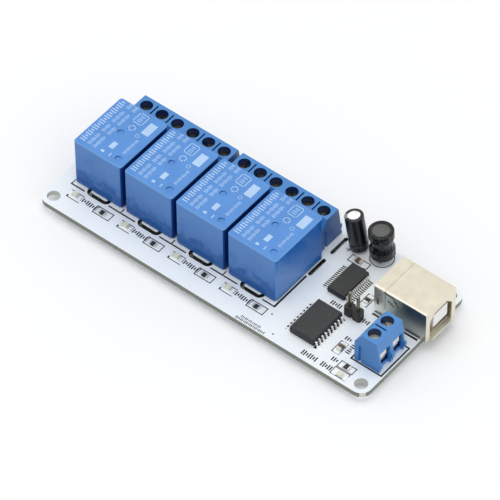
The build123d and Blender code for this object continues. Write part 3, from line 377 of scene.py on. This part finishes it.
def nickel_shell():
    """Nickel of the socket shell: warm on top, with painted light on its front face and on the
    floor inside, painted highlights on the bent edges, painted reflections down the sides, painted
    shadow along the side slits and painted shade deep inside the mouth.
    """
    reflection_from, reflection_length = 37.5, 16.0
    clear_from, clear_length, clear_height = 44.0, 6.0, 9.0
    mouth_from, mouth_length, inner_half = 46.0, 8.0, 5.85
    floor_top = 3.0
    bright = tone(240, 235, 219)
    finish = Finish("socket_nickel", metallic=1.0)
    lines = finish.noise(2500.0, 3.0, finish.stretched((1.0, 14.0, 14.0)))
    warm = finish.patches(400.0, tone(197, 191, 174), tone(208, 202, 186))
    # Painted light: the front face is lighter than the top
    warm = finish.mix(finish.faces("X", 0.7), warm, tone(232, 226, 207))
    # Painted reflection down the sides: pale toward the back, dark toward the front, lighter again
    # low at the front
    reflection_ramp = finish.share("X", reflection_from, reflection_length)
    reflection_ramp = finish.math("ADD", reflection_ramp, finish.math("MULTIPLY", finish.noise(260.0, 2.0), 0.12))
    painted_side = finish.ramp(reflection_ramp, [
        (0.1, tone(244, 244, 236)),
        (0.3, tone(190, 194, 188)),
        (0.5, tone(116, 124, 120)),
    ])
    outward = finish.math("MAXIMUM", finish.share("X", clear_from, clear_length), 0.0)
    lower = finish.share("Z", clear_height, -clear_height)
    painted_side = finish.mix(finish.math("MULTIPLY", outward, lower), painted_side, tone(190, 188, 180))
    # Painted shadow along each slit in the side
    slit_shadow = 0.0
    for start, end in socket_slits:
        slit_shadow = finish.math("MAXIMUM", finish.near(start, end, slit_shadow_reach), slit_shadow)
    painted_side = finish.mix(slit_shadow, painted_side, tone(26, 28, 28))
    inner = finish.math("LESS_THAN", finish.off("Y", socket_middle), inner_half)
    # Painted shade on the inner side walls: dark deep inside, lightening toward the front of the
    # mouth
    mouth = finish.share("X", mouth_from, mouth_length)
    inside = finish.ramp(mouth, [(0.2, tone(60, 60, 56)), (0.7, tone(226, 218, 194))])
    sides = finish.math("GREATER_THAN", finish.math("ABSOLUTE", finish.toward("Y")), 0.7)
    plate = finish.mix(sides, warm, finish.mix(inner, painted_side, inside))
    # Painted light on the upward floor inside the shell
    floor = finish.math("LESS_THAN", finish.axis("Z"), floor_top)
    floor = finish.math("MULTIPLY", floor, finish.faces("Z", 0.7))
    plate = finish.mix(floor, plate, bright)
    # Painted highlight along the bent edges
    bends = finish.within(finish.math("ABSOLUTE", finish.toward("Z")), 0.3, 0.93)
    finish.colour(finish.mix(bends, plate, bright))
    satin = finish.math("ADD", finish.math("MULTIPLY", lines, 0.16), 0.36)
    satin = finish.math("SUBTRACT", satin, finish.math("MULTIPLY", sides, 0.16))
    finish.link(satin, finish.shader.inputs["Roughness"])
    finish.bump(lines, 0.08, 0.01)
    return finish.material


def shrink_film():
    """Black shrink sleeve, glossy, with the wrinkles that heat leaves in it."""
    finish = Finish("shrink_black")
    finish.shader.inputs["Specular IOR Level"].default_value = 0.34
    finish.colour(finish.patches(300.0, tone(9, 10, 13), tone(16, 17, 21)))
    folds = finish.noise(700.0, 2.0, finish.stretched((1.0, 1.0, 0.6)))
    finish.rough(finish.noise(700.0), 0.16, 0.26)
    finish.bump(folds, 0.9, 0.6)
    return finish.material


def striped_sleeve():
    """Dark film round the leaning capacitor with its pale stripe down one side."""
    lean, lean_x, lean_y = math.tan(math.radians(9.3)), 0.993, 0.122
    stripe_at, stripe_half = math.radians(-139.0), 0.42
    finish = Finish("capacitor_film", roughness=0.28)
    split = finish.add("ShaderNodeSeparateXYZ")
    finish.link(finish.place, split.inputs[0])
    low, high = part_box("capacitor_sleeve")
    middle = (low + high) / 2
    across = finish.math("SUBTRACT", split.outputs["X"], middle.x)
    along = finish.math("SUBTRACT", split.outputs["Y"], middle.y)
    rise = finish.math("SUBTRACT", split.outputs["Z"], middle.z)
    across = finish.math("ADD", across, finish.math("MULTIPLY", rise, lean * lean_x))
    along = finish.math("ADD", along, finish.math("MULTIPLY", rise, lean * lean_y))
    angle = finish.math("ARCTAN2", along, across)
    turned = finish.math("ABSOLUTE", finish.math("SUBTRACT", angle, stripe_at))
    stripe = finish.math("LESS_THAN", turned, stripe_half)
    film = finish.patches(300.0, tone(22, 23, 28), tone(30, 31, 36))
    finish.colour(finish.mix(stripe, film, tone(136, 138, 142)))
    finish.bump(finish.noise(2000.0), 0.05, 0.02)
    return finish.material


terminal_blue = tone(70, 134, 201)
finishes = {
    "circuit_board": solder_mask(),
    "relay_bases": moulded("relay_base_blue", tone(20, 34, 84), 0.6),
    "relay_yokes": metal("relay_iron", tone(170, 170, 168), 0.45),
    "relay_bobbins": moulded("bobbin_black", tone(34, 34, 36), 0.5),
    "relay_coils": metal("coil_copper", tone(184, 108, 66), 0.35, (1.0, 1.0, 12.0)),
    "relay_contacts": metal("relay_pin_tin", tone(200, 198, 190), 0.35),
    "data_socket_shell": nickel_shell(),
    "data_socket_insulator": moulded("socket_white", tone(242, 242, 237), 0.5),
    "data_socket_contacts": metal("contact_gold", tone(224, 190, 116), 0.3),
    "capacitor_can": metal("can_aluminium", tone(246, 246, 245), 0.34),
    "capacitor_sleeve": striped_sleeve(),
    "capacitor_leads": metal("capacitor_lead_tin", tone(206, 206, 204), 0.35),
    "inductor_core": moulded("ferrite_grey", tone(88, 90, 87), 0.55, 0.24, 0.6),
    "inductor_winding": metal("winding_copper", tone(172, 100, 60), 0.35, (1.0, 1.0, 12.0)),
    "inductor_sleeve": shrink_film(),
    "inductor_leads": metal("inductor_lead_tin", tone(206, 206, 204), 0.35),
    "driver_chip_body": epoxy("driver_epoxy", tone(50, 51, 50), tone(32, 33, 36)),
    "driver_chip_leads": metal("driver_lead_tin", tone(248, 248, 246), 0.3, metallic=0.35),
    "interface_chip_body": epoxy("interface_epoxy", tone(50, 52, 50), tone(24, 24, 30)),
    "interface_chip_leads": metal("interface_lead_tin", tone(248, 248, 246), 0.3, metallic=0.35),
    "jumper_header_body": moulded("header_black", tone(28, 28, 30), 0.5),
    "jumper_header_pins": metal("header_pin_tin", tone(160, 156, 138), 0.3),
    "indicator_leds": moulded("led_base_white", tone(226, 226, 220), 0.5),
    "led_lenses": moulded("led_lens_clear", tone(222, 224, 200), 0.2, 0.03, 0.05),
    "resistors": moulded("resistor_black", tone(38, 38, 42), 0.45),
    "ceramic_capacitors": moulded("ceramic_brown", tone(104, 84, 72), 0.5),
}
relay_cover = relay_cover_plastic()
for number, middle in enumerate(terminal_middles, start=1):
    name = f"terminal_block_{number}"
    finishes[name] = terminal_plastic(name + "_blue", middle, terminal_row_y, 3)
finishes["power_terminal_block"] = terminal_plastic(
    "power_terminal_blue", power_block[1], power_block[0], 2, turned=True
)
# Lit and shaded copies of one zinc screw finish: painted shade darkens the screws in the row
# blocks' wells, painted light brightens the power block's screws
screw_zinc_painted_shade = metal("screw_zinc", tone(150, 143, 128), 0.26, (1.0, 1.0, 1.0), 0.12)
clamp_plate = metal("clamp_tin", tone(246, 247, 242), 0.38, (1.0, 1.0, 8.0), 0.05, 0.2)
screw_zinc_painted_light = metal("power_screw_zinc", tone(226, 224, 215), 0.3, (1.0, 1.0, 1.0), 0.1, 0.6)
armature_iron = metal("armature_iron", tone(176, 176, 172), 0.4)


def dress(piece, material):
    """Give a piece one finish all over."""
    if not piece.material_slots:
        piece.data.materials.append(material)
    for slot in piece.material_slots:
        slot.material = material


for name, piece in nodes.items():
    if name in finishes:
        dress(piece, finishes[name])
    elif name.startswith("relay_case"):
        dress(piece, relay_cover)
    elif name.startswith("relay_armature"):
        dress(piece, armature_iron)
    # The power block's screws take the copy with painted light
    elif name.startswith("power_terminal_screw"):
        dress(piece, screw_zinc_painted_light)
    elif "screw" in name:
        dress(piece, screw_zinc_painted_shade)
    else:
        dress(piece, clamp_plate)


# Modelling steps that every new piece shares
def clear_choice():
    bpy.ops.object.select_all(action="DESELECT")


def start(name):
    """Name the primitive that was just added and open it for editing."""
    piece = bpy.context.active_object
    piece.name = name
    piece.data.name = name
    bpy.ops.object.mode_set(mode="EDIT")
    return piece


def choose(piece, faces=None, edges=None, verts=None):
    """Select what a test on its middle accepts, in edit mode."""
    bpy.ops.mesh.select_all(action="DESELECT")
    mesh = bmesh.from_edit_mesh(piece.data)
    if faces:
        for face in mesh.faces:
            face.select_set(faces(face.calc_center_median(), face.normal))
    if edges:
        for edge in mesh.edges:
            edge.select_set(edges((edge.verts[0].co + edge.verts[1].co) / 2))
    if verts:
        for vert in mesh.verts:
            vert.select_set(verts(vert.co))
    mesh.select_flush_mode()
    bmesh.update_edit_mesh(piece.data)


def close(piece, material, body="board"):
    """Leave edit mode, put the piece's place into its mesh and let it ride on its body."""
    if bpy.context.mode != "OBJECT":
        bpy.ops.object.mode_set(mode="OBJECT")
    clear_choice()
    piece.select_set(True)
    bpy.context.view_layer.objects.active = piece
    bpy.ops.object.transform_apply(location=True, rotation=True, scale=True)
    dress(piece, material)
    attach(piece, body)
    clear_choice()
    return piece


def copies(pattern, name, places):
    """Copies of a finished small shape at (x, y, z, turn) places, joined into one piece."""
    made = []
    for x, y, z, turn in places:
        mesh = pattern.data.copy()
        spot = Matrix.Translation(Vector((x, y, z)) * mm)
        mesh.transform(spot @ Matrix.Rotation(math.radians(turn), 4, "Z"))
        copy = bpy.data.objects.new(name, mesh)
        bpy.context.scene.collection.objects.link(copy)
        made.append(copy)
    bpy.data.objects.remove(pattern)
    clear_choice()
    for copy in made:
        copy.select_set(True)
    bpy.context.view_layer.objects.active = made[0]
    bpy.ops.object.join()
    piece = bpy.context.active_object
    piece.name = name
    piece.data.name = name
    return piece


def ink(name, strokes, level, material):
    """Flat strokes of ink at a height; each is (x, y, length, width, turn)."""
    clear_choice()
    piece = None
    for x, y, length, width, turn in strokes:
        bpy.ops.mesh.primitive_cube_add(
            size=mm,
            location=(x * mm, y * mm, level * mm),
            rotation=(0.0, 0.0, math.radians(turn)),
            scale=(length, width, 2 * print_lift),
        )
        if piece is None:
            piece = start(name)
    return close(piece, material)


def line(x0, y0, x1, y1, width=0.3):
    """Stroke between two points, with square ends."""
    length = math.hypot(x1 - x0, y1 - y0) + width
    turn = math.degrees(math.atan2(y1 - y0, x1 - x0))
    return ((x0 + x1) / 2, (y0 + y1) / 2, length, width, turn)


def outline(x, y, length, width, stroke=0.16, gaps=()):
    """Rectangle of strokes round a place, without the sides named in gaps."""
    a, b = length / 2, width / 2
    sides = {
        "front": line(x - a, y - b, x + a, y - b, stroke),
        "back": line(x - a, y + b, x + a, y + b, stroke),
        "left": line(x - a, y - b, x - a, y + b, stroke),
        "right": line(x + a, y - b, x + a, y + b, stroke),
    }
    return [side for key, side in sides.items() if key not in gaps]


def label(x, y, length, height, turn=0.0, stroke=0.38, step=0.68):
    """Row of plain upright bars, every third one shorter."""
    count = round(length / step) + 1
    marks = []
    cos, sin = math.cos(math.radians(turn)), math.sin(math.radians(turn))
    for i in range(count):
        along = (i - (count - 1) / 2) * step
        tall = height if i % 3 != 2 else 0.6 * height
        marks.append((x + along * cos, y + along * sin, stroke, tall, turn))
    return marks


# Black legend on the board, with strips of painted shadow by the chip leads
front = -11.95
legend_and_lead_shadows = []
for x, y in relay_row:
    legend_and_lead_shadows.append(line(x - 7.81, front, x - 3.7, front, 0.42))
    legend_and_lead_shadows.append(line(x + 4.6, front, x + 8.15, front, 0.42))
    legend_and_lead_shadows.append(line(x + 8.28, front, x + 8.28, front + 1.4, 0.34))
    legend_and_lead_shadows += outline(x - 4.2, -14.7, 3.9, 2.5, 0.22, ("right",))
    legend_and_lead_shadows.append(line(x - 6.1, -15.7, x - 6.1, -13.7, 0.4))
    legend_and_lead_shadows += label(x - 1.45, -14.45, 2.2, 1.4)
    legend_and_lead_shadows += label(x + 1.25, -14.6, 2.2, 1.4)
    legend_and_lead_shadows += outline(x + 4.95, -14.75, 5.1, 2.4, 0.26)
    legend_and_lead_shadows.append(line(x + 2.9, -15.2, x + 2.9, -13.9, 0.36))
legend_and_lead_shadows.append(line(-48.38, front, -48.38, -10.4))
legend_and_lead_shadows.append(line(17.33, -11.8, 17.33, 0.6, 0.56))
legend_and_lead_shadows.append(line(37.9, 1.45, 39.6, 1.45, 0.6))
legend_and_lead_shadows.append(line(47.4, 1.45, 51.3, 1.45, 0.6))
for border in (
    (46.97, -7.5, 9.25, 11.25, 0.46),
    (43.25, -18.75, 4.5, 2.3, 0.22),
    (43.40, -16.21, 4.6, 2.1, 0.24),
    (38.15, -12.20, 2.1, 4.0, 0.22),
    (24.85, 12.55, 5.6, 2.2, 0.26),
    (34.15, 3.95, 2.1, 3.9, 0.26),
):
    legend_and_lead_shadows += outline(*border)
for row in (
    (15.8, -19.35, 5.6, 0.75, 0, 0.2, 0.44),
    (16.3, -20.3, 8.6, 0.8, 0, 0.24, 0.48),
    (33.85, -18.9, 4.2, 1.6),
    (39.1, -18.9, 2.8, 1.6),
    (39.5, -16.0, 1.5, 1.3),
    (40.55, -10.7, 3.1, 1.3, 90),
    (38.1, -8.75, 1.3, 1.2),
    (37.8, -1.8, 2.3, 1.4),
    (28.9, -1.85, 2.6, 1.4),
):
    legend_and_lead_shadows += label(*row)
# Dark strips by the chip leads: partly the chips' silk outline, partly painted shadow that the
# leads cast on the board
x, y = driver_chip
legend_and_lead_shadows.append(line(x + 4.2, y - 5.57, x + 4.2, y + 5.53, 0.8))
legend_and_lead_shadows.append(line(x - 5.25, y - 5.27, x - 5.25, y + 5.13, 0.46))
x, y = interface_chip
for side in (-1, 1):
    legend_and_lead_shadows.append(line(x + 3.8 * side, y - 3.47, x + 3.8 * side, y + 3.43, 1.9))
# Two dots and the capacitor's plus sign
for x, y in ((18.4, -14.2), (22.6, -19.05)):
    legend_and_lead_shadows.append((x, y, 0.4, 0.4, 45))
legend_and_lead_shadows.append(line(19.6, 14.2, 20.8, 14.2, 0.22))
legend_and_lead_shadows.append(line(20.2, 13.6, 20.2, 14.8, 0.22))
ink_black = moulded("legend_black", tone(20, 20, 24), 0.5)
ink("board_legend_and_lead_shadows", legend_and_lead_shadows, board_top, ink_black)


def ring(x, y, radius, stroke):
    """Thin ring of ink round a place on the board."""
    middle = (x * mm, y * mm, board_top * mm)
    clear_choice()
    bpy.ops.mesh.primitive_torus_add(
        location=middle,
        major_radius=radius * mm,
        minor_radius=stroke / 2 * mm,
        major_segments=48,
        minor_segments=6,
    )
    piece = start("ring")
    bpy.ops.mesh.select_all(action="SELECT")
    flat = 2 * print_lift / stroke
    bpy.ops.transform.resize(value=(1.0, 1.0, flat), center_override=middle)
    bpy.ops.object.mode_set(mode="OBJECT")
    return piece


rings = [ring(28.48, 17.24, 3.11, 0.26), ring(27.1, 11.2, 0.5, 0.2)]
clear_choice()
for piece in rings:
    piece.select_set(True)
bpy.context.view_layer.objects.active = rings[0]
bpy.ops.object.join()
rings[0].name = "part_rings"
rings[0].data.name = "part_rings"
close(rings[0], ink_black)


# Pale marks on the relay covers: plain bars in rows and a few plain fields
def bars(x, y, start, end, step, height, stroke):
    """Upright bars from a start to an end along a cover, every third one shorter."""
    count = round((end - start) / step) + 1
    row = []
    for i in range(count):
        tall = height if i % 3 != 2 else 0.6 * height
        row.append((x, y + start + i * step, tall, stroke, 0))
    return row


def cover_marks(x, y):
    """Marks of one cover: (x across the relay, y along it) from its centre."""
    marks = bars(x - 6.05, y, -7.7, 8.3, 0.8, 1.7, 0.34)
    for start, end in ((-7.8, -3.8), (-2.3, 0.1), (1.7, 5.9), (7.4, 8.8)):
        marks += bars(x - 3.85, y, start, end, 0.5, 1.1, 0.2)
        marks += bars(x - 2.1, y, start, end, 0.5, 1.1, 0.2)
    marks += outline(x + 1.2, y + 6.6, 2.8, 3.4, 0.22)
    marks += bars(x + 1.2, y, 5.7, 7.5, 0.6, 1.3, 0.2)
    marks += outline(x + 1.3, y + 2.9, 1.6, 1.6, 0.22)
    marks.append((x + 5.15, y + 5.1, 2.3, 4.2, 0))
    marks += outline(x + 4.1, y + 1.6, 1.0, 1.0, 0.16)
    marks.append((x + 1.35, y - 4.5, 1.4, 2.3, 0))
    marks += bars(x + 5.15, y, -4.9, 0.3, 0.52, 0.9, 0.2)
    marks.append((x + 0.4, y - 7.6, 1.0, 0.7, 0))
    marks.append((x + 2.75, y - 7.5, 0.3, 1.2, 0))
    return marks


pale_marks = []
for x, y in relay_row:
    pale_marks += cover_marks(x, y)
ink_pale = moulded("cover_marks_pale", tone(176, 206, 240), 0.45)
ink("relay_cover_marks", pale_marks, relay_top, ink_pale)


# Soldered ends of the small surface parts
tin = metal("solder_tin", tone(222, 224, 218), 0.32, (1.0, 1.0, 1.0), 0.1, 0.6)
led_places = [(x - 4.45, -14.45, 0) for x, y in relay_row] + [(43.58, -19.09, 0)]
resistor_places = [(x + 4.9, -14.85, 0) for x, y in relay_row]
resistor_places += [(43.34, -16.21, 0), (34.15, 3.91, 90)]
ceramic_places = [(38.38, -12.20, 90), (24.65, 12.60, 0)]


def soldered_end(height):
    """Tinned cap on one end of a small part, with its fillet running out onto the pad."""
    cap = height + 0.03
    clear_choice()
    bpy.ops.mesh.primitive_cube_add(size=mm, location=(0, 0, 0), scale=(0.46, 1.39, cap))
    piece = start("soldered_end")
    bpy.ops.mesh.select_all(action="SELECT")
    bpy.ops.transform.translate(value=(0.82 * mm, 0, cap / 2 * mm))
    choose(piece, faces=lambda middle, normal: normal.x > 0.5)
    bpy.ops.mesh.extrude_region_move(TRANSFORM_OT_translate={"value": (0.35 * mm, 0, 0)})
    choose(piece, verts=lambda co: co.x > 1.3 * mm and co.z > 0.5 * height * mm)
    bpy.ops.transform.translate(value=(0, 0, -(height - 0.05) * mm))
    choose(piece, edges=lambda middle: True)
    bpy.ops.mesh.bevel(offset=0.03 * mm, segments=2)
    bpy.ops.object.mode_set(mode="OBJECT")
    return piece


def both_ends(places):
    """Each place twice, the second time turned the other way round."""
    ends = []
    for x, y, turn in places:
        ends.append((x, y, board_top, turn))
        ends.append((x, y, board_top, turn + 180))
    return ends


for name, height, places in (
    ("led_soldered_ends", 0.38, led_places),
    ("resistor_soldered_ends", 0.52, resistor_places),
    ("ceramic_soldered_ends", 1.02, ceramic_places),
):
    piece = copies(soldered_end(height), name, both_ends(places))
    close(piece, tin)


# Pads under the chip leads and at both ends of the small parts
pad_tin = metal("pad_tin", tone(248, 249, 248), 0.34, (1.0, 1.0, 1.0), 0.05, 0.2)


def lead_pads(name, x, y, reach, pitch, per_side, width, length):
    """Flat tinned pads in a row along both sides of a chip."""
    strokes = []
    for side in (-1, 1):
        for i in range(per_side):
            along = y + (i - (per_side - 1) / 2) * pitch
            strokes.append((x + side * reach, along, length, width, 0))
    return ink(name, strokes, pad_level, pad_tin)


def end_pads(name, places, width):
    """Flat tinned pads that reach out from both ends of small parts."""
    strokes = []
    for x, y, turn in places:
        cos, sin = math.cos(math.radians(turn)), math.sin(math.radians(turn))
        for side in (-1, 1):
            strokes.append((x + 1.5 * side * cos, y + 1.5 * side * sin, 1.0, width, turn))
    return ink(name, strokes, pad_level, pad_tin)


end_pads("small_part_pads", led_places + resistor_places + ceramic_places, 1.6)
lead_pads("driver_pads", *driver_chip, 4.95, 1.27, 9, 0.6, 1.6)
lead_pads("interface_pads", *interface_chip, 3.95, 0.65, 14, 0.22, 1.7)


# Solder cones under the board, one at each tail
def solder_cone(foot, tip, height):
    """Cone that hangs from its wide foot, drawn in a little between foot and tip."""
    clear_choice()
    bpy.ops.mesh.primitive_cone_add(
        vertices=20, radius1=foot * mm, radius2=tip * mm, depth=height * mm, location=(0, 0, 0)
    )
    piece = start("solder_cone")
    bpy.ops.mesh.select_all(action="SELECT")
    bpy.ops.mesh.subdivide(number_cuts=3)
    half = height / 2

    def waist(co):
        return abs(co.z) < 0.9 * half * mm

    choose(piece, verts=waist)
    bpy.ops.transform.resize(value=(0.84, 0.84, 1.0), center_override=(0, 0, 0))
    bpy.ops.mesh.select_all(action="SELECT")
    bpy.ops.transform.resize(value=(1.0, 1.0, -1.0), center_override=(0, 0, 0))
    bpy.ops.mesh.normals_make_consistent(inside=False)
    bpy.ops.transform.translate(value=(0, 0, -half * mm))
    bpy.ops.object.mode_set(mode="OBJECT")
    return piece


tails = []
for x, y in relay_row:
    tails += [(x, y - 7.1), (x - 6, y - 5.1), (x + 6, y - 5.1), (x - 6, y + 7.1), (x + 6, y + 7.1)]
for middle in terminal_middles:
    tails += [(middle + step * terminal_pitch, terminal_row_y) for step in (-1, 0, 1)]
tails += [(power_block[0], power_block[1] + step * terminal_pitch / 2) for step in (-1, 1)]
large_tails = [(x, y, 0, 0) for x, y in tails]
piece = copies(solder_cone(1.25, 0.6, 1.3), "large_solder_joints", large_tails)
close(piece, tin)
small_tails = [(x, y, 0, 0) for x, y in header_pins]
for x in (39.3, 41.5):
    small_tails += [(x, socket_middle + step, 0, 0) for step in (-1.25, 1.25)]
piece = copies(solder_cone(0.85, 0.42, 1.0), "small_solder_joints", small_tails)
close(piece, tin)


# Floor, light and camera
def pale_floor():
    """White paper under the board, just clear of the lowest tails."""
    clear_choice()
    bpy.ops.mesh.primitive_plane_add(size=6.0, location=(0, 0, (tail_end - print_lift) * mm))
    floor = bpy.context.active_object
    floor.name = "floor"
    finish = Finish("floor_paper", roughness=0.9)
    finish.shader.inputs["Specular IOR Level"].default_value = 0.0
    finish.colour(finish.patches(3.0, tone(252, 252, 252), tone(255, 255, 255)))
    dress(floor, finish.material)


def studio_sun(name, strength, width, direction):
    """Broad lamp that shines from a direction."""
    light = bpy.data.lights.new(name, "SUN")
    light.energy = strength
    light.angle = math.radians(width)
    lamp = bpy.data.objects.new(name, light)
    lamp.rotation_euler = Vector(direction).to_track_quat("Z", "Y").to_euler()
    bpy.context.scene.collection.objects.link(lamp)


def studio_world():
    """Soft sky that lights the scene, and plain white where it is seen or mirrored."""
    world = bpy.data.worlds.new("studio")
    world.use_nodes = True
    bpy.context.scene.world = world
    tree = world.node_tree
    soft = tree.nodes["Background"]
    soft.inputs["Color"].default_value = (0.97, 0.98, 1.0, 1.0)
    soft.inputs["Strength"].default_value = 0.7
    paper = tree.nodes.new("ShaderNodeBackground")
    paper.inputs["Color"].default_value = (1.0, 1.0, 1.0, 1.0)
    paper.inputs["Strength"].default_value = 1.0
    rays = tree.nodes.new("ShaderNodeLightPath")
    seen = rays.outputs["Is Camera Ray"]
    for kind in ("Is Glossy Ray", "Is Transmission Ray"):
        either = tree.nodes.new("ShaderNodeMath")
        either.operation = "MAXIMUM"
        tree.links.new(seen, either.inputs[0])
        tree.links.new(rays.outputs[kind], either.inputs[1])
        seen = either.outputs[0]
    blend = tree.nodes.new("ShaderNodeMixShader")
    tree.links.new(seen, blend.inputs[0])
    tree.links.new(soft.outputs[0], blend.inputs[1])
    tree.links.new(paper.outputs[0], blend.inputs[2])
    tree.links.new(blend.outputs[0], tree.nodes["World Output"].inputs["Surface"])


def photograph_camera():
    """Camera at the photograph's angle: azimuth, elevation, roll, aim point and distance."""
    azimuth, elevation, roll = (math.radians(v) for v in (39.1115, 48.9889, -0.4405))
    aim = Vector((1.005, -1.232, 1.6)) * mm
    level = math.cos(elevation)
    back = Vector((math.sin(azimuth) * level, -math.cos(azimuth) * level, math.sin(elevation)))
    right = Vector((0, 0, 1)).cross(back).normalized()
    up = back.cross(right)
    across = right * math.cos(roll) + up * math.sin(roll)
    upward = up * math.cos(roll) - right * math.sin(roll)
    data = bpy.data.cameras.new("photograph")
    data.lens = 316.27
    data.sensor_width = 36.0
    data.sensor_fit = "HORIZONTAL"
    data.clip_start = 0.05
    data.clip_end = 20.0
    camera = bpy.data.objects.new("photograph", data)
    place = Matrix((across, upward, back)).transposed().to_4x4()
    place.translation = aim + back * (1098.443 * mm)
    camera.matrix_world = place
    bpy.context.scene.collection.objects.link(camera)
    bpy.context.scene.camera = camera


pale_floor()
studio_sun("key_light", 0.95, 50.0, (-0.1, 0.05, 1.0))
studio_sun("side_light", 0.22, 70.0, (0.8, -0.4, 0.6))
studio_world()
photograph_camera()
bpy.context.scene.view_settings.view_transform = "Standard"
